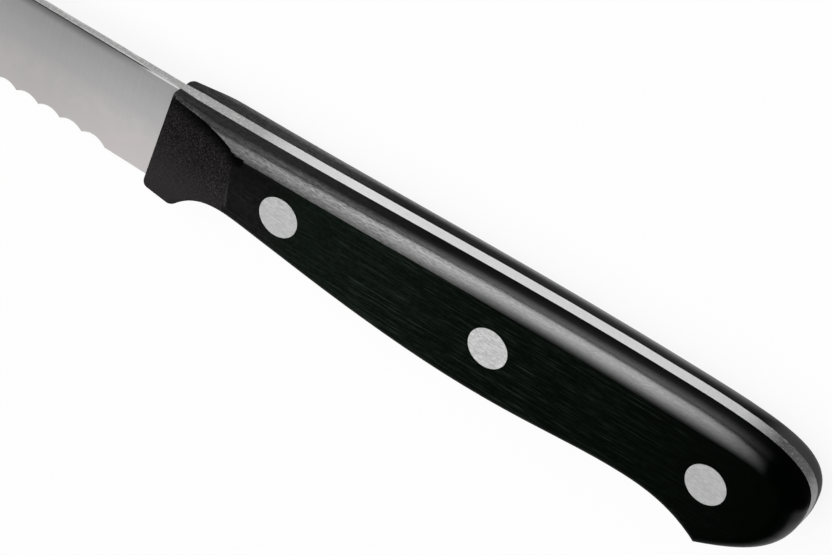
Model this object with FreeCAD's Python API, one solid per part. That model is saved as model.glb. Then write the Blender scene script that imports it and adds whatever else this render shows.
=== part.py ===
import FreeCAD, Part
import math
import os
from FreeCAD import Vector

# Tomato knife, lying on its right side: tip towards -X, spine towards +Y, left side up.
# The origin is under the middle of the knife, on the surface that it lies on. Millimetres.

# Overall sizes
blade_length = 140.0  # point of the blade to the front of the handle, along the spine
handle_length = 117.4  # front of the handle at the spine to the end of the butt
tang_thickness = 2.0
scale_thickness = 4.4  # each scale, outside the tang
overrun = 2.0  # how far a cutting body reaches past what it cuts

# Handle outline, heights and depths from the line of the rivets, setbacks from the butt
spine_height = 7.85
hump_height = 11.27
hump_setback = 22.8
butt_end_height = 3.05
beak_setback = 13.75
beak_depth = 12.85
hollow_setback = 27.55
hollow_depth = 8.8
belly_setback = 59.7
belly_depth = 10.93
notch_offset = 14.0  # top of the finger notch, behind the handle's front
notch_depth = 7.1
guard_drop = 0.95  # the guard's foot below the plain edge
guard_heel_offset = 4.5
guard_heel_rise = 0.37  # the foot rises by this towards its heel
front_lean = 2.0  # the foot of the guard stands this far ahead of the spine end
guard_corner_radius = 1.3
guard_heel_radius = 1.7
beak_corner_radius = 1.2

# How the outline's curves leave and reach their ends, in degrees and as shares of the chord
spine_angle = 1.0
notch_rise_angle = 52.0
beak_fall_angle = 35.0
beak_rise_angle = 25.0
spine_shares = (0.40, 0.40)
hump_shares = (0.52, 0.30)
butt_shares = (0.34, 0.55)
hollow_shares = (0.39, 0.33)
belly_shares = (0.30, 0.46)
flank_shares = (0.44, 0.11)
notch_shares = (0.38, 0.40)

# Scales
spine_round = 2.55  # rounding of a scale's outer edge at the front of the spine
hump_round = 3.65
butt_round = 3.9
beak_round = 3.2
belly_round = 3.3
rim_bands = 9  # bands that the rounding is made of, from wall to face
slope_length = 14.5  # sloping front of a scale, along the spine
slope_front_thickness = 1.8
slope_edge_round = 1.2  # along the front and the lower edge of the slope
slope_spine_round = 0.6  # along its spine

# Blade
blade_heel_depth = 11.6  # plain edge below the line of the rivets
plain_edge_length = 9.1  # unserrated edge ahead of the guard
tip_spine_height = 5.6
edge_curve_length = 20.0  # the edge sweeps up over this length to the point
edge_rise = 0.3  # from the plain edge to where the edge starts to sweep up
spine_thickness = 1.65
edge_thickness = 0.44  # where the ground faces would end, a little below the edge
tip_spine_thickness = 1.0
tip_edge_thickness = 0.3
plunge_length = 4.0  # the grind runs out over this length under the scales
edge_sweep_angle = 52.0
edge_shares = (0.45, 0.30)

# Forked point
fork_depth = 7.0
fork_floor_radius = 1.5
fork_floor_height = 0.6
lower_prong_setback = 1.4
lower_prong_depth = 1.6
prong_radius = 0.4

# Serration, ground from the right side by a tilted wheel
scallop_pitch = 4.42
scallop_depth = 1.38
scallop_wheel_radius = 8.0
scallop_tilt = 20.0  # degrees between the wheel's line and the blade
scallop_end_margin = 5.0  # serration stops this far from the lower prong
middle_share = 0.5

# Rivets
rivet_pitch = 39.25
rear_rivet_setback = 14.6
rivet_head_diameter = 7.0
rivet_head_thickness = 2.4
rivet_tube_diameter = 4.6
rivet_pin_diameter = 3.0
rivet_end_gap = 0.4  # left between the end of each half and the other half's head
rivet_clearance = 0.02  # around each head, tube and pin

# Places worked out from the sizes
overall_length = blade_length + handle_length
tip_x = -overall_length / 2
front_x = tip_x + blade_length
butt_x = overall_length / 2
rivet_y = (beak_depth - hump_height) / 2
guard_depth = blade_heel_depth + guard_drop
mid_z = scale_thickness + tang_thickness / 2
top_z = 2 * mid_z
rivet_names = ("front", "middle", "rear")
rear_rivet_x = butt_x - rear_rivet_setback
side_low_y = rivet_y - beak_depth - overrun
side_width = beak_depth + hump_height + 2 * overrun
turn_step = math.pi / 2 / rim_bands
turns = [(turn_step * band, turn_step * (band + 1)) for band in range(rim_bands)]
up = Vector(0, 0, 1)
touching = 1e-6  # points closer than this are one point


def spot(x, height):
    return Vector(x, rivet_y + height, 0)


def heading(angle):
    return Vector(math.cos(math.radians(angle)), math.sin(math.radians(angle)), 0)


def inward(angle):
    # Square to a heading, towards the middle of the handle
    return Vector(math.sin(math.radians(angle)), -math.cos(math.radians(angle)), 0)


def mitre(angle, next_angle):
    # From a corner to where two walls, each moved inwards by one, would meet
    total = inward(angle) + inward(next_angle)
    return total / (1 + inward(angle).dot(inward(next_angle)))


def slide(end_wall, angle):
    # The same for an end wall that isn't moved
    return end_wall / end_wall.dot(inward(angle))


def poles(start, start_angle, end, end_angle, shares):
    # Poles of a curve that leaves start and reaches end at the given angles, climbing evenly
    chord = math.hypot(end.x - start.x, end.y - start.y)
    climb = up * (end.z - start.z)
    leave = start + (heading(start_angle) * chord + climb) * shares[0]
    reach = end - (heading(end_angle) * chord + climb) * shares[1]
    return [start, leave, reach, end]


def bezier(points):
    curve = Part.BezierCurve()
    curve.setPoles(points)
    return curve.toShape()


def flow(start, start_angle, end, end_angle, shares):
    return bezier(poles(start, start_angle, end, end_angle, shares))


# Corners of the handle's outline
front_top = spot(front_x, spine_height)
hump = spot(butt_x - hump_setback, hump_height)
butt_end = spot(butt_x, butt_end_height)
beak = spot(butt_x - beak_setback, -beak_depth)
hollow = spot(butt_x - hollow_setback, -hollow_depth)
belly = spot(butt_x - belly_setback, -belly_depth)
notch = spot(front_x + notch_offset, -notch_depth)
guard_heel = spot(front_x + guard_heel_offset, guard_heel_rise - guard_depth)
guard_front = spot(front_x - front_lean, -guard_depth)
slope_rise = scale_thickness - slope_front_thickness
slope_angle = math.degrees(math.atan2(slope_rise, slope_length))
slope_start = front_top + up * (top_z - slope_rise)
outline = [
    (front_top, spine_angle, hump, 0, spine_shares),
    (hump, 0, butt_end, -90, hump_shares),
    (butt_end, -90, beak, 180 + beak_rise_angle, butt_shares),
    (beak, 180 - beak_fall_angle, hollow, 180, hollow_shares),
    (hollow, 180, belly, 180, belly_shares),
    (belly, 180, notch, 180, flank_shares),
    (notch, 180, guard_heel, 180 + notch_rise_angle, notch_shares),
]
# The way inwards and the rounding at each end of those curves
belly_end = (inward(180), belly_round)
rim_ends = [
    (slide(guard_front - front_top, spine_angle), spine_round),
    (inward(0), hump_round),
    (inward(-90), butt_round),
    (mitre(180 + beak_rise_angle, 180 - beak_fall_angle), beak_round),
    belly_end,
    belly_end,
    belly_end,
    (slide(guard_front - guard_heel, 180 + notch_rise_angle), belly_round),
]
handle_corners = [
    (guard_front, guard_corner_radius),
    (guard_heel, guard_heel_radius),
    (beak, beak_corner_radius),
]

# Corners of the blade's outline: the plain edge meets the leaning front of the handle
heel_share = (spine_height + blade_heel_depth) / (spine_height + guard_depth)
blade_heel = front_top + (guard_front - front_top) * heel_share
serration_start = spot(front_x - front_lean - plain_edge_length, -blade_heel_depth)
edge_curve_start = spot(tip_x + edge_curve_length, edge_rise - blade_heel_depth)
edge_run = edge_curve_start - serration_start
edge_angle = math.degrees(math.atan2(edge_run.y, edge_run.x))
lower_prong = spot(tip_x + lower_prong_setback, -lower_prong_depth)
prong_under = spot(tip_x + prong_radius, tip_spine_height - 2 * prong_radius)
prong_end = spot(tip_x, tip_spine_height - prong_radius)
prong_top = spot(tip_x + prong_radius, tip_spine_height)


def handle_edges():
    # From the front of the spine round the butt to the foot of the guard, and up the front
    foot = Part.makeLine(guard_heel, guard_front)
    return [flow(*curve) for curve in outline] + [foot, Part.makeLine(guard_front, front_top)]


def prism(edges, low_z, high_z):
    face = Part.Face(Part.Wire(edges))
    face.translate(up * low_z)
    return face.extrude(up * (high_z - low_z))


def upright_edges(solid, corner):
    # The edges along Z that stand on a corner of the outline
    found = []
    for edge in solid.Edges:
        ends = [vertex.Point for vertex in edge.Vertexes]
        if all(math.hypot(end.x - corner.x, end.y - corner.y) < touching for end in ends):
            found.append(edge)
    return found


def handle_prism(low_z, high_z):
    return prism(handle_edges(), low_z, high_z)


def rounded_handle_prism(low_z, high_z):
    solid = handle_prism(low_z, high_z)
    for corner, radius in handle_corners:
        solid = solid.makeFillet(radius, upright_edges(solid, corner))
    return solid


def fork_edges():
    # From the lower prong round the floor of the fork to the rounded end of the upper prong
    floor_x = tip_x + fork_depth - fork_floor_radius
    lower = spot(floor_x, fork_floor_height - fork_floor_radius)
    floor = spot(floor_x + fork_floor_radius, fork_floor_height)
    upper = spot(floor_x, fork_floor_height + fork_floor_radius)
    return [
        Part.makeLine(lower_prong, lower),
        Part.Arc(lower, floor, upper).toShape(),
        Part.makeLine(upper, prong_under),
        Part.Arc(prong_under, prong_end, prong_top).toShape(),
    ]


def blade_edges():
    # From inside the handle along the edge to the point, and back along the spine
    heel_inside = blade_heel + Vector(overrun, 0, 0)
    return [
        Part.makeLine(front_top, heel_inside),
        Part.makeLine(heel_inside, serration_start),
        Part.makeLine(serration_start, edge_curve_start),
        flow(edge_curve_start, edge_angle, lower_prong, 180 - edge_sweep_angle, edge_shares),
    ] + fork_edges() + [Part.makeLine(prong_top, front_top)]


def blade_prism(low_z, high_z):
    solid = prism(blade_edges(), low_z, high_z)
    return solid.makeFillet(prong_radius, upright_edges(solid, lower_prong))


def thickness_section(x_low, x_high, low_thickness, high_thickness):
    # Four-cornered section of the steel between two heights, leaning as the handle's front does
    low_y = side_low_y
    high_y = side_low_y + side_width
    corners = [
        Vector(x_low, low_y, mid_z - low_thickness / 2),
        Vector(x_high, high_y, mid_z - high_thickness / 2),
        Vector(x_high, high_y, mid_z + high_thickness / 2),
        Vector(x_low, low_y, mid_z + low_thickness / 2),
    ]
    return Part.makePolygon(corners + corners[:1])


def ground_body():
    # Parallel at the tang, running out under the scales, then tapering to edge and point
    sections = [
        thickness_section(butt_x + overrun, butt_x + overrun, tang_thickness, tang_thickness),
        thickness_section(front_x + plunge_length - front_lean, front_x + plunge_length,
                          tang_thickness, tang_thickness),
        thickness_section(front_x - front_lean, front_x, edge_thickness, spine_thickness),
        thickness_section(tip_x - overrun, tip_x - overrun, tip_edge_thickness, tip_spine_thickness),
    ]
    return Part.makeLoft(sections, True, True)


def steel():
    # Blade and tang in one piece, before the holes and the serration
    blank = rounded_handle_prism(0, top_z).fuse(blade_prism(0, top_z)).removeSplitter()
    return blank.common(ground_body())


def scallop_wheels():
    # One tilted wheel for each scallop, its lowest line scallop_depth above the edge on the left face
    run_length = edge_run.Length + edge_curve_length - scallop_end_margin
    count = int(run_length / scallop_pitch)
    tilt = math.radians(scallop_tilt)
    along = edge_run / edge_run.Length
    upwards = Vector(along.y, -along.x, 0)
    axis = upwards * math.cos(tilt) - up * math.sin(tilt)
    out_of_face = upwards * math.sin(tilt) + up * math.cos(tilt)
    wheels = []
    for index in range(count):
        distance = scallop_pitch * (index + middle_share)
        middle = serration_start + along * distance + upwards * scallop_depth
        middle.z = mid_z + edge_thickness / 2
        centre = middle - out_of_face * scallop_wheel_radius
        base = centre - axis * scallop_wheel_radius
        wheels.append(Part.makeCylinder(scallop_wheel_radius, 2 * scallop_wheel_radius, base, axis))
    return wheels


def rivet_xs():
    last = len(rivet_names) - 1
    return [rear_rivet_x - rivet_pitch * (last - index) for index in range(len(rivet_names))]


def post(x, diameter, low_z, high_z):
    return Part.makeCylinder(diameter / 2, high_z - low_z, spot(x, 0) + up * low_z)


def blade():
    holes = [post(x, rivet_tube_diameter + 2 * rivet_clearance, 0, top_z) for x in rivet_xs()]
    return steel().cut(Part.makeCompound(holes)).cut(scallop_wheels())


def rim_place(point, rim_end, across, upright):
    # A place on the rounding, in shares of it inwards from the wall and up to the left face
    way, rounding = rim_end
    return point + way * (rounding * across) + up * (top_z - rounding * (1 - upright))


def rim_curve(index, across, upright):
    start, start_angle, end, end_angle, shares = outline[index]
    low = rim_place(start, rim_ends[index], across, upright)
    high = rim_place(end, rim_ends[index + 1], across, upright)
    return poles(low, start_angle, high, end_angle, shares)


def band_rows(turn, next_turn):
    # Shares across and up of the rows of poles of one band: its ends and where their tangents meet
    middle = (turn + next_turn) / 2
    pull = 1 / math.cos((next_turn - turn) / 2)
    return [
        (1 - math.cos(turn), math.sin(turn)),
        (1 - pull * math.cos(middle), pull * math.sin(middle)),
        (1 - math.cos(next_turn), math.sin(next_turn)),
    ]


def rim_band(index, turn, next_turn):
    surface = Part.BezierSurface()
    surface.increase(2, 3)
    for row, (across, upright) in enumerate(band_rows(turn, next_turn), 1):
        for column, pole in enumerate(rim_curve(index, across, upright), 1):
            surface.setPole(row, column, pole)
    return surface.toShape()


def end_wall(corner, rim_end):
    # Flat wall between the foot of the guard and a corner where the rounding ends
    foot = corner + up * mid_z
    guard_foot = guard_front + up * mid_z
    guard_top = guard_front + up * top_z
    edges = [Part.makeLine(guard_foot, foot), Part.makeLine(foot, rim_place(corner, rim_end, 0, 0))]
    for turn, next_turn in turns:
        edges.append(bezier([rim_place(corner, rim_end, *row) for row in band_rows(turn, next_turn)]))
    edges.append(Part.makeLine(rim_place(corner, rim_end, 1, 1), guard_top))
    edges.append(Part.makeLine(guard_top, guard_foot))
    return Part.Face(Part.Wire(edges))


def rounded_half():
    # Left half of the handle, sewn from its walls, the bands of its rounding and its flat faces
    faces = []
    crowns = []
    for index, curve in enumerate(outline):
        foot = flow(*curve)
        foot.translate(up * mid_z)
        faces.append(Part.makeRuledSurface(foot, bezier(rim_curve(index, 0, 0))))
        faces += [rim_band(index, turn, next_turn) for turn, next_turn in turns]
        crowns.append(bezier(rim_curve(index, 1, 1)))
    guard_top = guard_front + up * top_z
    crowns.append(Part.makeLine(crowns[-1].Vertexes[-1].Point, guard_top))
    crowns.append(Part.makeLine(guard_top, crowns[0].Vertexes[0].Point))
    faces.append(Part.Face(Part.Wire(crowns)))
    faces.append(end_wall(front_top, rim_ends[0]))
    faces.append(end_wall(guard_heel, rim_ends[-1]))
    base = Part.Face(Part.Wire(handle_edges()))
    base.translate(up * mid_z)
    shell = Part.makeShell(faces + [base])
    shell.sewShape()
    return Part.makeSolid(shell).common(rounded_handle_prism(mid_z, top_z))


def front_slab():
    # Everything above the tang's middle, from ahead of the handle to behind the slope
    corner = Vector(front_x - front_lean - overrun, side_low_y, mid_z)
    length = front_lean + slope_length + 2 * overrun
    return Part.makeBox(length, side_width, 2 * scale_thickness, corner)


def slope_block():
    # What the slope takes away: a block tipped about the front of the spine
    corner = Vector(front_x - front_lean - 2 * overrun, side_low_y, slope_start.z)
    length = front_lean + slope_length + 4 * overrun
    block = Part.makeBox(length, side_width, 2 * scale_thickness, corner)
    block.rotate(slope_start, Vector(0, 1, 0), -slope_angle)
    return block


def slope_rim(front, at_spine):
    # The edges of the slope, along the spine or along the front and the lower side
    square = Vector(-slope_rise, 0, slope_length).normalize()
    found = []
    for edge in front.Edges:
        middle = edge.valueAt((edge.FirstParameter + edge.LastParameter) / 2)
        on_slope = abs((middle - slope_start).dot(square)) < touching
        before_rear = middle.x < front.BoundBox.XMax - overrun / 2
        if on_slope and before_rear and (middle.y > front_top.y) == at_spine:
            found.append(edge)
    return found


def sloping_front():
    # Front of the left half under its slope, the edges softened
    front = rounded_handle_prism(mid_z, top_z + scale_thickness).common(front_slab()).cut(slope_block())
    front = front.makeFillet(slope_edge_round, slope_rim(front, False))
    return front.makeFillet(slope_spine_round, slope_rim(front, True))


def left_scale():
    scale = rounded_half().cut(front_slab().cut(sloping_front())).cut(steel())
    seat_z = top_z - rivet_head_thickness
    for x in rivet_xs():
        tube_hole = post(x, rivet_tube_diameter + 2 * rivet_clearance, mid_z, top_z)
        head_seat = post(x, rivet_head_diameter + 2 * rivet_clearance, seat_z, top_z)
        scale = scale.cut(tube_hole.fuse(head_seat))
    return scale


def over_to_right(shape):
    return shape.mirror(up * mid_z, up)


def rivet_pin(x):
    # Solid half, head down into the left scale
    head_z = top_z - rivet_head_thickness
    end_z = rivet_head_thickness + rivet_end_gap
    head = post(x, rivet_head_diameter, head_z, top_z)
    return head.fuse(post(x, rivet_pin_diameter, end_z, head_z))


def rivet_tube(x):
    # Tubular half, head up into the right scale, bored for the pin
    end_z = top_z - rivet_head_thickness - rivet_end_gap
    head = post(x, rivet_head_diameter, 0, rivet_head_thickness)
    tube = post(x, rivet_tube_diameter, 0, end_z)
    bore = post(x, rivet_pin_diameter + 2 * rivet_clearance, rivet_head_thickness, end_z)
    return head.fuse(tube).cut(bore)


def knife():
    left = left_scale()
    pieces = {"blade": blade(), "left_scale": left, "right_scale": over_to_right(left)}
    for name, x in zip(rivet_names, rivet_xs()):
        pieces[name + "_rivet_pin"] = rivet_pin(x)
        pieces[name + "_rivet_tube"] = rivet_tube(x)
    return pieces


os.makedirs("parts", exist_ok=True)
for name, piece in knife().items():
    print(name, piece.isValid(), len(piece.Solids), round(piece.Volume, 1))
    piece.exportStep("parts/" + name + ".step")
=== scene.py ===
import math
import bmesh
import bpy
import numpy as np
from mathutils import Matrix, Vector


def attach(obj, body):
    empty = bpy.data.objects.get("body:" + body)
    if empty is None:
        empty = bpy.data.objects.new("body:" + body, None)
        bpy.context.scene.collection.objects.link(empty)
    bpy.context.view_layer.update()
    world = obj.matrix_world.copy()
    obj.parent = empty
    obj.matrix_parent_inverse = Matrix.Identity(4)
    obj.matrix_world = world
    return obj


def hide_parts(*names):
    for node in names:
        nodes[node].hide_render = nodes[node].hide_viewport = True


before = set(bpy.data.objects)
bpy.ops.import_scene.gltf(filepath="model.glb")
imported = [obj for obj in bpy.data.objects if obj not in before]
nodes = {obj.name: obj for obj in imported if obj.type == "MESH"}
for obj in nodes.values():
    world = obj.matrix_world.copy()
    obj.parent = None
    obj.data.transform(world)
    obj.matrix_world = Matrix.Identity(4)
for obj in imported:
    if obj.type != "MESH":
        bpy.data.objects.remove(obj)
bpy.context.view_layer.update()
scene = bpy.context.scene
scene.view_settings.view_transform = "Standard"
print("knife loaded:", len(nodes), "nodes")

# Camera at the photograph's angle: a long lens from above the spine, behind the butt
cameraSet = {
    "place": (0.237839, 0.378840, 0.429290),
    "right": (0.80927024, 0.22409985, -0.54301099),
    "up": (-0.50414989, 0.7394197, -0.44619659),
    "back": (0.30152044, 0.63485255, 0.71137027),
    "lens": 169.41,
    "sensor": 36.0,
    "near": 0.01,
}


def setCamera(s):
    data = bpy.data.cameras.new("photoCamera")
    data.sensor_fit = "HORIZONTAL"
    data.sensor_width = s["sensor"]
    data.lens = s["lens"]
    data.clip_start = s["near"]
    camera = bpy.data.objects.new("photoCamera", data)
    turn = Matrix((s["right"], s["up"], s["back"])).transposed()
    camera.matrix_world = Matrix.Translation(Vector(s["place"])) @ turn.to_4x4()
    scene.collection.objects.link(camera)
    scene.camera = camera


setCamera(cameraSet)

# Lights: one large softbox over the spine, a dim panel low over the edge side, and a little fill all round
lightSet = {
    "aim": (0.07, 0.0, 0.01),
    "softbox": {"toward": (-0.30, 0.18, 0.94), "distance": 1.2, "size": (1.05, 3.1), "radiance": 2.7},
    "panel": {"toward": (-0.42, -0.63, 0.66), "distance": 0.6, "size": (0.5, 0.5), "radiance": 0.3},
    "fill": 0.15,
}


def addLamp(name, s, aim):
    # Power for a wanted brightness of the lamp's face: power = brightness times pi times area
    data = bpy.data.lights.new(name, "AREA")
    data.shape = "RECTANGLE"
    data.size, data.size_y = s["size"]
    data.energy = s["radiance"] * math.pi * s["size"][0] * s["size"][1]
    lamp = bpy.data.objects.new(name, data)
    toward = Vector(s["toward"]).normalized()
    side = (Vector((1, 0, 0)) - toward * toward.x).normalized()
    turn = Matrix((side, toward.cross(side), toward)).transposed()
    lamp.matrix_world = Matrix.Translation(Vector(aim) + toward * s["distance"]) @ turn.to_4x4()
    lamp.visible_camera = False
    scene.collection.objects.link(lamp)


def setLights(s):
    addLamp("softbox", s["softbox"], s["aim"])
    addLamp("panel", s["panel"], s["aim"])
    world = bpy.data.worlds.new("studio")
    world.use_nodes = True
    background = world.node_tree.nodes["Background"]
    background.inputs["Color"].default_value = (1, 1, 1, 1)
    background.inputs["Strength"].default_value = s["fill"]
    scene.world = world


setLights(lightSet)
print("camera and lights set")


# Small helpers for node trees
class Tree:
    def __init__(self, tree):
        self.tree = tree

    def node(self, kind, *values, **settings):
        made = self.tree.nodes.new(kind)
        for key, value in settings.items():
            setattr(made, key, value)
        for index, value in enumerate(values):
            self.feed(made.inputs[index], value)
        return made

    def feed(self, socket, value):
        if value is None:
            return
        if isinstance(value, bpy.types.NodeSocket):
            self.tree.links.new(value, socket)
        else:
            socket.default_value = value

    def math(self, operation, *values):
        return self.node("ShaderNodeMath", *values, operation=operation).outputs[0]

    def times(self, first, second):
        return self.math("MULTIPLY", first, second)

    def most(self, first, second):
        return self.math("MAXIMUM", first, second)

    def less(self, first, second):
        return self.math("SUBTRACT", first, second)

    def split(self, vector):
        return self.node("ShaderNodeSeparateXYZ", vector).outputs

    def ramp(self, value, low, high, outLow=0.0, outHigh=1.0, smooth=True):
        # Runs from outLow to outHigh as value goes from low to high
        made = self.node("ShaderNodeMapRange", value, low, high, outLow, outHigh)
        made.interpolation_type = "SMOOTHSTEP" if smooth else "LINEAR"
        return made.outputs[0]

    def tones(self, value, stops, high=1.0):
        # Greys along a run from 0 to high: each stop is a place and a grey
        made = self.node("ShaderNodeValToRGB", self.ramp(value, 0.0, high, smooth=False))
        points = made.color_ramp.elements
        for index, (place, grey) in enumerate(stops):
            point = points[index] if index < 2 else points.new(1.0)  # a new ramp has two points
            point.position = place / high
            point.color = (grey, grey, grey, 1)
        return made.outputs[0]

    def handleTones(self, x, stops):
        return self.tones(x, stops, handleReach)

    def mixColor(self, factor, first, second):
        made = self.node("ShaderNodeMix", data_type="RGBA")
        for index, value in ((0, factor), (6, first), (7, second)):  # the mix node's colour sockets
            self.feed(made.inputs[index], value)
        return made.outputs[2]

    def mixValue(self, factor, first, second):
        return self.node("ShaderNodeMix", factor, None, first, second, data_type="FLOAT").outputs[0]

    def noise(self, place, scale, detail=2.0, rough=0.5):
        made = self.node("ShaderNodeTexNoise")
        for label, value in (("Vector", place), ("Scale", scale), ("Detail", detail), ("Roughness", rough)):
            self.feed(made.inputs[label], value)
        return made.outputs[0]

    def stretch(self, place, scale, turn=(0.0, 0.0, 0.0)):
        made = self.node("ShaderNodeMapping")
        for label, value in (("Vector", place), ("Scale", scale), ("Rotation", turn)):
            self.feed(made.inputs[label], value)
        return made.outputs[0]


handleReach = 0.13  # tones along the handle run from the frame's middle to just past the butt


def newGroup(name, inputs, outputs):
    tree = bpy.data.node_groups.new(name, "ShaderNodeTree")
    for label, kind, value in inputs:
        socket = tree.interface.new_socket(label, in_out="INPUT", socket_type="NodeSocket" + kind)
        if value is not None:
            socket.default_value = value
    for label, kind in outputs:
        tree.interface.new_socket(label, in_out="OUTPUT", socket_type="NodeSocket" + kind)
    t = Tree(tree)
    return t, tree.nodes.new("NodeGroupInput").outputs, tree.nodes.new("NodeGroupOutput").inputs


def groundLinesGroup():
    # Lines of a grinding belt: noise drawn far out along one way gives the lines, less far out the dashes on them
    t, given, out = newGroup("groundLines", [
        ("Place", "Vector", None), ("Long", "Vector", None),
        ("Short", "Vector", None), ("Scale", "Float", 4000.0),
    ], [("Lines", "Float"), ("Dashes", "Float")])
    for label, drawn, detail in (("Lines", "Long", 2.0), ("Dashes", "Short", 3.0)):
        place = t.node("ShaderNodeVectorMath", given["Place"], given[drawn], operation="MULTIPLY")
        t.feed(out[label], t.noise(place.outputs[0], given["Scale"], detail))
    return t.tree


groundLines = groundLinesGroup()


def newMaterial(name):
    material = bpy.data.materials.new(name)
    material.use_nodes = True
    material.node_tree.nodes.clear()
    t = Tree(material.node_tree)
    shader = t.node("ShaderNodeBsdfPrincipled")
    end = t.node("ShaderNodeOutputMaterial")
    t.tree.links.new(shader.outputs[0], end.inputs[0])
    coords = t.node("ShaderNodeTexCoord")
    return material, t, shader.inputs, coords.outputs


def placeLines(t, place, drawn):
    long, short, scale = drawn
    made = t.node("ShaderNodeGroup", node_tree=groundLines)
    for label, value in (("Place", place), ("Long", long), ("Short", short), ("Scale", scale)):
        t.feed(made.inputs[label], value)
    return made.outputs["Lines"], made.outputs["Dashes"]


def blendLines(t, lines, dashes, dashShare=0.5):
    return t.math("MULTIPLY_ADD", lines, 1.0 - dashShare, t.times(dashes, dashShare))


def bumped(t, height, distance, strength):
    made = t.node("ShaderNodeBump")
    for label, value in (("Strength", strength), ("Distance", distance), ("Height", height)):
        t.feed(made.inputs[label], value)
    return made.outputs[0]


def spineAt(t, x, s):
    # Height of the spine, which climbs evenly from its foot at the handle's front: foot + climb (x - foot's place)
    at, height = s["spineFoot"]
    return t.math("MULTIPLY_ADD", x, s["spineClimb"], height - s["spineClimb"] * at)


# In the settings below, a fade is the two places or values it runs between, then what it gives there if not 0 and 1
# Lines are how far they are drawn out, how far their dashes are, and how fine they are
# Blade and tang: satin steel, ground across the blade, its spine and the tang's edge drawn along
bladeSet = {
    # Painted light and shade: lighter by the edge, darker by the spine
    "litByEdge": (0.413, 0.404, 0.404, 1),
    "middle": (0.313, 0.309, 0.309, 1),
    "shadedBySpine": (0.235, 0.235, 0.235, 1),
    "edgeFade": (-0.010, 0.0),
    "spineFade": (0.0, 0.0075),
    "warm": (0.446, 0.400, 0.400, 1),
    "warmFade": (0.001, -0.005),
    "warmCloud": (320.0, 4.0, 0.65),
    "warmShare": (0.35, 0.65, 0.25, 0.60),
    "acrossLines": ((1.0, 0.02, 0.02), (1.0, 0.2, 0.2), 4200.0),
    "faceLine": (0.46, 0.455, 0.455, 1),
    "faceLineShare": (0.36, 0.64, 0.0, 0.12),
    "forward": (0.05, 0.05, 0.05, 1),
    "forwardFade": (-0.018, 0.010, 0.17, 0.0),
    "spineFoot": (0.0113, 0.00864),
    "spineClimb": 0.0161,
    # Painted shade as a dark rim along the spine
    "spineRimShade": (0.085, 0.085, 0.085, 1),
    "rimFade": (0.0021, 0.0001),
    "rimAlong": (-0.006, 0.009, 1.0, 0.1),
    "byHandle": (0.0030, 0.0070),
    # Painted highlight as a thin light line by the handle
    "highlightLineFade": (0.00050, 0.00034, 0.0, 0.55),
    "spineLine": (0.012, 0.012, 0.012, 1),
    "spineLineFade": (0.00030, 0.00020),
    "spineLineLeft": 0.35,
    "alongLines": ((0.08, 1.0, 1.0), (0.5, 1.0, 1.0), 5000.0),
    # Painted light and shade in greys along the tang strip
    "stripLightAndShadeTones": ((0.008, 0.36), (0.026, 0.395), (0.032, 0.64), (0.045, 0.78), (0.060, 0.72), (0.100, 0.69),
                   (0.114, 0.57), (0.121, 0.060), (0.1265, 0.085), (0.1287, 0.30)),
    "stripPit": (0.16, 0.16, 0.155, 1),
    "pitShare": (0.46, 0.30, 0.0, 0.30),
    "fleckAndHighlight": (0.90, 0.89, 0.88, 1),
    "fleckShare": (0.50, 0.72, 0.0, 0.45),
    "rubbed": (0.020, 0.034, 1.0, 0.45),
    "tangMiddle": 0.0054,
    "patchDraw": (0.2, 1.0, 1.0),
    "patchScale": 1600.0,
    "patchShare": (0.44, 0.62),
    "wornEdge": (0.0001, 0.0007),
    "wornEnd": (0.012, 0.006, 0.0, 0.50),
    "sideTurn": (0.4, 0.7),
    "rough": (0.3, 0.7, 0.45, 0.51),
    "metallic": 0.6,
    "bump": (0.000003, 0.4),
}


def bladeSide(t, place, fine, s):
    # Ground side of the blade: painted light and shade, lighter by the edge and darker up to the spine, a little
    # warm and cloudy by the edge
    x, y, z = t.split(place)
    face = t.mixColor(t.ramp(y, *s["edgeFade"], smooth=False), s["litByEdge"], s["middle"])
    face = t.mixColor(t.ramp(y, *s["spineFade"]), face, s["shadedBySpine"])
    tinge = t.ramp(t.noise(place, *s["warmCloud"]), *s["warmShare"])
    face = t.mixColor(t.times(t.ramp(y, *s["warmFade"]), tinge), face, s["warm"])
    face = t.mixColor(t.ramp(fine, *s["faceLineShare"]), face, s["faceLine"])
    face = t.mixColor(t.ramp(x, *s["forwardFade"]), face, s["forward"])
    # Painted shade as a dark rim along the spine, and a thin dark line there, which give way to a painted highlight
    # line by the handle
    gap = t.less(spineAt(t, x, s), y)
    # Painted shade: the dark rim along the spine
    rim = t.times(t.ramp(gap, *s["rimFade"]), t.ramp(x, *s["rimAlong"]))
    face = t.mixColor(rim, face, s["spineRimShade"])
    byHandle = t.ramp(x, *s["byHandle"])
    # Painted highlight: a thin light line along the spine by the handle
    face = t.mixColor(t.times(t.ramp(gap, *s["highlightLineFade"]), byHandle), face, s["fleckAndHighlight"])
    lineLeft = t.ramp(byHandle, 0.0, 1.0, 1.0, s["spineLineLeft"])
    return t.mixColor(t.times(t.ramp(gap, *s["spineLineFade"]), lineLeft), face, s["spineLine"])


def tangEdge(t, place, flecks, s):
    # Spine and edge of the tang: painted light and shade in greys along its length, with pits and flecks, rubbed
    # off along the handle
    x, y, z = t.split(place)
    strip = t.handleTones(x, s["stripLightAndShadeTones"])
    rubbed = t.ramp(x, *s["rubbed"])
    strip = t.mixColor(t.times(t.ramp(flecks, *s["pitShare"]), rubbed), strip, s["stripPit"])
    strip = t.mixColor(t.times(t.ramp(flecks, *s["fleckShare"]), rubbed), strip, s["fleckAndHighlight"])
    # Worn light patches along both edges of the spine, as far as the handle
    patches = t.ramp(t.noise(t.stretch(place, s["patchDraw"]), s["patchScale"]), *s["patchShare"])
    edges = t.ramp(t.math("ABSOLUTE", t.less(z, s["tangMiddle"])), *s["wornEdge"])
    worn = t.times(t.times(patches, edges), t.ramp(x, *s["wornEnd"]))
    return t.mixColor(worn, strip, s["fleckAndHighlight"])


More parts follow.
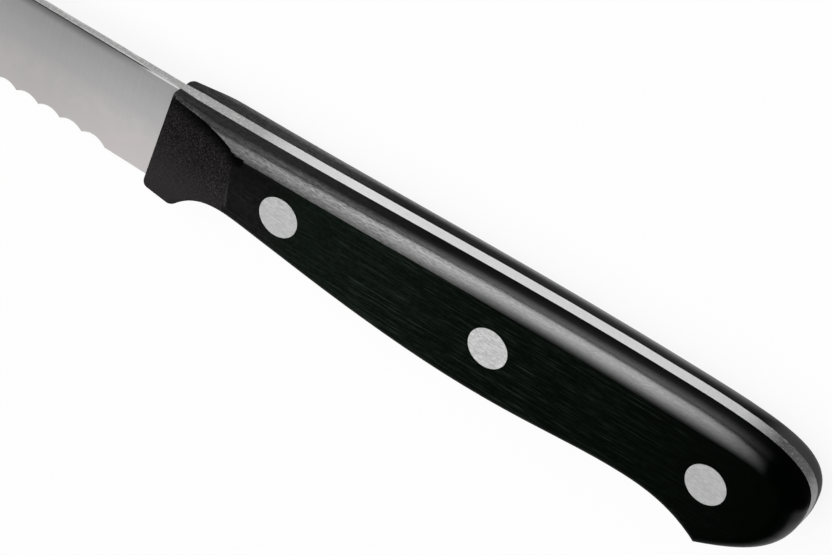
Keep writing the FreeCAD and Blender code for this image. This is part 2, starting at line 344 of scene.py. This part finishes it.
def bladeMaterial(s):
    material, t, shader, coords = newMaterial("satinBladeSteel")
    place = coords["Object"]
    sideways = t.ramp(t.math("ABSOLUTE", t.split(coords["Normal"])[2]), *s["sideTurn"])
    across, dashes = placeLines(t, place, s["acrossLines"])
    along, flecks = placeLines(t, place, s["alongLines"])
    fine = blendLines(t, across, dashes)
    t.feed(shader["Base Color"], t.mixColor(sideways, tangEdge(t, place, flecks, s), bladeSide(t, place, fine, s)))
    t.feed(shader["Roughness"], t.ramp(fine, *s["rough"]))
    shader["Metallic"].default_value = s["metallic"]
    t.feed(shader["Normal"], bumped(t, t.mixValue(sideways, along, across), *s["bump"]))
    return material


# Scales: black, ground lengthwise and buffed over the shoulders, with a dull moulded slope at the front
scaleSet = {
    "black": (0.0003, 0.0008, 0.0004, 1),
    "lineTurn": (0.0, 0.0, -0.02),
    "tangMiddle": 0.0054,
    "smoothAngle": 22.0,
    # Flat
    "flatLines": ((0.006, 1.0, 1.0), (0.035, 1.0, 1.0), 7500.0),
    "ground": (0.0060, 0.0100, 0.0074, 1),
    "frontGround": (0.0112, 0.0106, 0.0109, 1),
    "frontFade": (0.030, 0.042),
    "mottle": (1500.0, 3.0, 0.6),
    "mottleShare": (0.36, 0.64, 0.45, 0.0),
    # Painted shade darkening the flat towards the butt
    "groundShadeTones": ((0.020, 0.95), (0.045, 0.70), (0.068, 0.40), (0.100, 0.20), (0.122, 0.04)),
    "line": (0.030, 0.042, 0.034, 1),
    "lineShare": (0.52, 0.64),
    "lineTones": ((0.025, 0.12), (0.045, 0.60), (0.085, 0.45), (0.110, 0.16), (0.122, 0.0)),
    # Painted shade towards the spine at the front, and in the crease by the shoulder
    "shadeUp": (0.0, 0.0055, 0.0, 0.45),
    "shadeAlong": (0.042, 0.030),
    "creaseShadeTurn": (0.012, 0.05),
    "flatRough": (0.3, 0.7, 0.24, 0.40),
    # Slope
    "slopeFoot": 0.0113,
    "slopeEnd": 0.0258,
    "slopeRise": 0.0026,
    "cornerRise": (0.0040, 0.0058),
    "cornerReach": 0.0017,
    "ridgeTurn": 0.25,
    # Painted shade: the slope darker towards the top
    "slopeHigh": (0.0054, 0.0048, 0.0051, 1),
    "slopeLow": (0.0212, 0.0195, 0.0202, 1),
    "slopeShadeFade": (-0.0085, 0.0040),
    "slopeGrain": (0.036, 0.0335, 0.0345, 1),
    "grain": (3600.0, 3.0, 0.6),
    "grainShare": (0.44, 0.64, 0.0, 0.65),
    "scuff": (0.060, 0.057, 0.058, 1),
    "scuffPlace": (0.0236, -0.0010, 0.0),
    "scuffReach": 0.0032,
    "scuffScale": 2600.0,
    "scuffShare": (0.56, 0.68, 0.0, 0.7),
    "spineFoot": (0.0113, 0.00864),
    "spineClimb": 0.0175,
    "frontRound": 0.00255,
    "ridgeShade": (0.0036, 0.0001, 0.0, 0.95),
    "ridgeShadeAlong": (0.0, 0.4, 0.65, 1.0),
    "slopeRough": 0.65,
    # Buffed band, by how far the surface faces sideways and by the place along the handle
    "bandLines": ((0.016, 1.0, 1.0), (0.12, 1.0, 1.0), 11000.0),
    "bandDashes": 0.65,
    "bandTones": ((0.0, 0.03), (0.20, 0.09), (0.36, 0.42), (0.485, 0.82), (0.62, 0.97), (0.76, 1.0),
                  (0.90, 0.74), (0.970, 0.48), (0.992, 0.34)),
    "alongTones": ((0.012, 0.40), (0.026, 0.52), (0.040, 0.80), (0.060, 0.94), (0.100, 0.82),
                   (0.112, 0.56), (0.122, 0.0)),
    "rearTones": ((0.78, 1.0), (0.88, 0.86), (0.93, 0.64), (0.965, 0.42), (0.985, 0.22), (0.992, 0.10)),
    "rearFade": (0.045, 0.085),
    "wallTones": ((0.012, 0.18), (0.030, 0.15), (0.060, 0.03), (0.100, 0.02), (0.116, 0.0)),
    "bandPeak": 0.76,
    "frontReach": (0.055, 0.026, 0.0, 0.17),
    "rightReach": 0.2,
    "bandEnd": (0.9978, 0.9950),
    "streakShare": (0.45, 0.55),
    "streakLeft": (0.035, 0.080, 0.48, 0.80),
    "upperTurn": (-0.2, 0.1),
    "wedgeWidth": (0.0004, 0.0024),
    "wedgeFade": (0.35, 1.0, 1.0, 0.0),
    "wedgeStart": (0.0, 0.3, 0.4, 1.0),
    "wedgeEnd": (0.75, 1.0, 0.40, 0.0),
    # Shine round the butt
    "buttAlong": (0.1150, 0.1215, 0.0, 0.37),
    "buttTurn": (0.97, 0.45),
    "buttLow": (0.18, -0.35),
    "buttRight": 0.55,
    "ior": 1.03,
    "coatIor": 2.5,
    "coatRough": 0.26,
    "bump": (0.000008, 0.5),
}


def ridgeGap(t, along, x, y, s):
    # Gap on the slope to the ridge where it cuts the shoulder: the shoulder is a quarter circle, so the ridge
    # lies in from the spine by r - sqrt(r r - q q), with q = r - the slope's depth below the flat face
    r = s["frontRound"]
    q = t.most(t.math("MULTIPLY_ADD", along, s["slopeRise"], r - s["slopeRise"]), 0.0)
    inset = t.less(r, t.math("SQRT", t.less(r * r, t.times(q, q))))
    return t.less(t.less(spineAt(t, x, s), inset), y)


def wedgeShine(t, along, z, s):
    # Shine that starts as a point at the front and widens along the ridge, on the shoulder just below the slope
    height = t.math("ABSOLUTE", t.less(z, s["tangMiddle"]))
    slopeHeight = t.math("MULTIPLY_ADD", along, s["slopeRise"], s["tangMiddle"] - s["slopeRise"])
    width = t.ramp(along, 0.0, 1.0, *s["wedgeWidth"], smooth=False)
    shine = t.ramp(t.math("DIVIDE", t.less(slopeHeight, height), width), *s["wedgeFade"])
    return t.times(shine, t.times(t.ramp(along, *s["wedgeStart"]), t.ramp(along, *s["wedgeEnd"])))


def flatGround(t, place, upturn, streaks, s):
    # Flat face: lines on a mottled ground, with painted shade that darkens it towards the butt, towards the spine
    # at the front, and into the crease by the shoulder
    x, y, z = t.split(place)
    ground = t.mixColor(t.ramp(x, *s["frontFade"]), s["frontGround"], s["ground"])
    ground = t.mixColor(t.ramp(t.noise(place, *s["mottle"]), *s["mottleShare"]), ground, s["black"])
    ground = t.mixColor(t.handleTones(x, s["groundShadeTones"]), s["black"], ground)
    lined = t.times(t.ramp(streaks, *s["lineShare"]), t.handleTones(x, s["lineTones"]))
    ground = t.mixColor(lined, ground, s["line"])
    shaded = t.times(t.ramp(y, *s["shadeUp"]), t.ramp(x, *s["shadeAlong"]))
    ground = t.mixColor(shaded, ground, s["black"])
    # Painted shade in the crease by the shoulder
    return t.mixColor(t.ramp(upturn, *s["creaseShadeTurn"]), ground, s["black"])


def mouldedSlope(t, place, along, grain, s):
    # Slope: fine grain, a few scuffs by its rear edge, painted shade darkening it towards the top and under the
    # ridge
    x, y, z = t.split(place)
    # Painted shade: darker towards the top of the slope
    moulded = t.mixColor(t.ramp(y, *s["slopeShadeFade"]), s["slopeLow"], s["slopeHigh"])
    moulded = t.mixColor(t.ramp(grain, *s["grainShare"]), moulded, s["slopeGrain"])
    onFlat = t.node("ShaderNodeVectorMath", place, (1.0, 1.0, 0.0), operation="MULTIPLY").outputs[0]
    away = t.node("ShaderNodeVectorMath", onFlat, s["scuffPlace"], operation="DISTANCE").outputs["Value"]
    specks = t.ramp(t.noise(place, s["scuffScale"]), *s["scuffShare"])
    moulded = t.mixColor(t.times(t.ramp(away, s["scuffReach"], 0.0), specks), moulded, s["scuff"])
    shade = t.ramp(ridgeGap(t, along, x, y, s), *s["ridgeShade"])
    return t.mixColor(t.times(shade, t.ramp(along, *s["ridgeShadeAlong"])), moulded, s["black"])


def buffedShine(t, place, upturn, facing, along, buffed, s):
    # Buffed band over the shoulder, streaked lengthwise, on the upper side only
    # It reaches further round towards the tang at the front, and on the right scale
    x, y, z = t.split(place)
    onRight = t.math("LESS_THAN", z, s["tangMiddle"])
    reach = t.math("MULTIPLY_ADD", onRight, s["rightReach"], t.ramp(x, *s["frontReach"]))
    reached = t.most(facing, t.math("MINIMUM", t.math("ADD", facing, reach), s["bandPeak"]))
    band = t.times(t.tones(reached, s["bandTones"]), t.handleTones(x, s["alongTones"]))
    rear = t.mixValue(t.ramp(x, *s["rearFade"]), 1.0, t.tones(facing, s["rearTones"]))
    band = t.most(t.times(band, rear), t.handleTones(x, s["wallTones"]))
    band = t.times(band, t.ramp(facing, *s["bandEnd"]))
    band = t.most(band, wedgeShine(t, along, z, s))
    band = t.times(band, t.ramp(buffed, *s["streakShare"], 1.0, t.ramp(x, *s["streakLeft"])))
    band = t.times(band, t.ramp(upturn, *s["upperTurn"]))
    # Plain shine round the butt: on the left scale below the spine's turn, on the right scale all round
    butt = t.times(t.ramp(x, *s["buttAlong"]), t.ramp(facing, *s["buttTurn"]))
    low = t.most(t.ramp(upturn, *s["buttLow"]), t.times(onRight, s["buttRight"]))
    return t.most(band, t.times(butt, low))


def scaleMaterial(s):
    material, t, shader, coords = newMaterial("blackScale")
    place = coords["Object"]
    x, y, z = t.split(place)
    normal = t.split(coords["Normal"])
    upturn, facing = normal[1], t.math("ABSOLUTE", normal[2])
    turned = t.stretch(place, (1.0, 1.0, 1.0), s["lineTurn"])
    buffed = blendLines(t, *placeLines(t, turned, s["bandLines"]), s["bandDashes"])
    streaks = blendLines(t, *placeLines(t, turned, s["flatLines"]))
    grain = t.noise(place, *s["grain"])
    # The slope ends further back where it rounds into the ridge
    along = t.ramp(x, s["slopeFoot"], s["slopeEnd"], smooth=False)
    slopeEnd = t.ramp(y, *s["cornerRise"], s["slopeEnd"], s["slopeEnd"] + s["cornerReach"])
    slope = t.times(t.math("LESS_THAN", x, slopeEnd), t.math("LESS_THAN", upturn, s["ridgeTurn"]))
    ground = flatGround(t, place, upturn, streaks, s)
    t.feed(shader["Base Color"], t.mixColor(slope, ground, mouldedSlope(t, place, along, grain, s)))
    t.feed(shader["Roughness"], t.mixValue(slope, t.ramp(streaks, *s["flatRough"]), s["slopeRough"]))
    shader["IOR"].default_value = s["ior"]
    shine = buffedShine(t, place, upturn, facing, along, buffed, s)
    t.feed(shader["Coat Weight"], t.mixValue(slope, shine, 0.0))
    shader["Coat Roughness"].default_value = s["coatRough"]
    shader["Coat IOR"].default_value = s["coatIor"]
    t.feed(shader["Normal"], bumped(t, t.mixValue(slope, streaks, grain), *s["bump"]))
    return material


def smoothSkin(node, s):
    # Copy of a scale with its loose triangles joined and shaded as one skin, sharp only at its real edges
    mesh = node.data.copy()
    work = bmesh.new()
    work.from_mesh(mesh)
    bmesh.ops.remove_doubles(work, verts=work.verts, dist=1e-6)  # a thousandth of a millimetre
    work.to_mesh(mesh)
    work.free()
    if "custom_normal" in mesh.attributes:
        mesh.attributes.remove(mesh.attributes["custom_normal"])
    mesh.shade_smooth()
    mesh.set_sharp_from_angle(angle=math.radians(s["smoothAngle"]))
    skin = bpy.data.objects.new(node.name + "_skin", mesh)
    scene.collection.objects.link(skin)
    weights = skin.modifiers.new("faceWeights", "WEIGHTED_NORMAL")  # large flats keep their own normals
    weights.keep_sharp = True
    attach(skin, "root")
    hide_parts(node.name)
    return skin


# Rivets: satin steel heads, ground flush with the scales, the middle one a little brighter
rivetSet = {
    "lines": ((0.25, 1.0, 1.0), (0.6, 1.0, 1.0), 4600.0),
    "steelTones": ((0.045, 0.43), (0.060, 0.54), (0.085, 0.54), (0.100, 0.405)),
    "line": (0.34, 0.34, 0.34, 1),
    "lineShare": (0.38, 0.64, 0.0, 0.7),
    "dashShare": (0.40, 0.62, 0.0, 0.6),
    "rough": (0.3, 0.7, 0.46, 0.60),
    "metallic": 0.6,
    "bump": (0.000005, 0.4),
}


def rivetMaterial(s):
    material, t, shader, coords = newMaterial("rivetSteel")
    place = coords["Object"]
    lines, dashes = placeLines(t, place, s["lines"])
    tone = t.handleTones(t.split(place)[0], s["steelTones"])
    tone = t.mixColor(t.ramp(lines, *s["lineShare"]), tone, s["line"])
    tone = t.mixColor(t.ramp(dashes, *s["dashShare"]), tone, s["line"])
    t.feed(shader["Base Color"], tone)
    t.feed(shader["Roughness"], t.ramp(lines, *s["rough"]))
    shader["Metallic"].default_value = s["metallic"]
    t.feed(shader["Normal"], bumped(t, lines, *s["bump"]))
    return material


def dress(node, material):
    node.data.materials.clear()
    node.data.materials.append(material)


bladeSteel = bladeMaterial(bladeSet)
scaleBlack = scaleMaterial(scaleSet)
rivetSteel = rivetMaterial(rivetSet)
for name, node in nodes.items():
    if name == "blade":
        dress(node, bladeSteel)
    elif name.endswith("_scale"):
        dress(smoothSkin(node, scaleSet), scaleBlack)
    else:
        dress(node, rivetSteel)
print("materials on the knife")

# Floor and backdrop: one pale bowl, flat under the knife and turned up at its far rim
floorSet = {
    "start": 0.02,
    "flat": 2.2,
    "bend": 0.6,
    "white": (0.82, 0.82, 0.82, 1),
    "glow": 0.9,
}


def bowlSurface(s, around=96, out=24):
    # Each ring runs out flat to the bend, then follows a quarter circle up:
    # radius = flat + bend sin t, height = bend (1 - cos t)
    turn = np.linspace(0, 2 * np.pi, around, endpoint=False)
    bend = np.linspace(0, np.pi / 2, out)
    level = np.linspace(s["start"], s["flat"], out, endpoint=False)
    radius = np.concatenate([level, s["flat"] + s["bend"] * np.sin(bend)])
    height = np.concatenate([np.zeros(out), s["bend"] * (1 - np.cos(bend))])
    points = np.stack([np.outer(radius, np.cos(turn)), np.outer(radius, np.sin(turn)),
                       np.repeat(height[:, None], around, 1)], axis=-1).reshape(-1, 3)
    ring, step = np.meshgrid(np.arange(len(radius) - 1), np.arange(around), indexing="ij")
    first = ring * around + step
    second = ring * around + (step + 1) % around
    quads = np.stack([first, first + around, second + around, second], axis=-1).reshape(-1, 4)
    return points, quads, np.arange(around)


def addFloor(s):
    points, quads, middle = bowlSurface(s)
    mesh = bpy.data.meshes.new("paleFloor")
    mesh.from_pydata(points.tolist(), [], quads.tolist() + [middle.tolist()])
    mesh.polygons.foreach_set("use_smooth", np.ones(len(mesh.polygons), bool))
    floor = bpy.data.objects.new("paleFloor", mesh)
    scene.collection.objects.link(floor)
    material = bpy.data.materials.new("paleFloor")
    material.use_nodes = True
    material.node_tree.nodes.clear()
    t = Tree(material.node_tree)
    paper = t.node("ShaderNodeBsdfDiffuse", s["white"])
    glow = t.node("ShaderNodeEmission", (1, 1, 1, 1), 1.0)
    path = t.node("ShaderNodeLightPath").outputs
    seen = t.most(path["Is Camera Ray"], t.most(path["Is Glossy Ray"], path["Is Transmission Ray"]))
    mixed = t.node("ShaderNodeMixShader", t.times(seen, s["glow"]), paper.outputs[0], glow.outputs[0])
    t.node("ShaderNodeOutputMaterial", mixed.outputs[0])
    mesh.materials.append(material)


addFloor(floorSet)
print("floor laid")
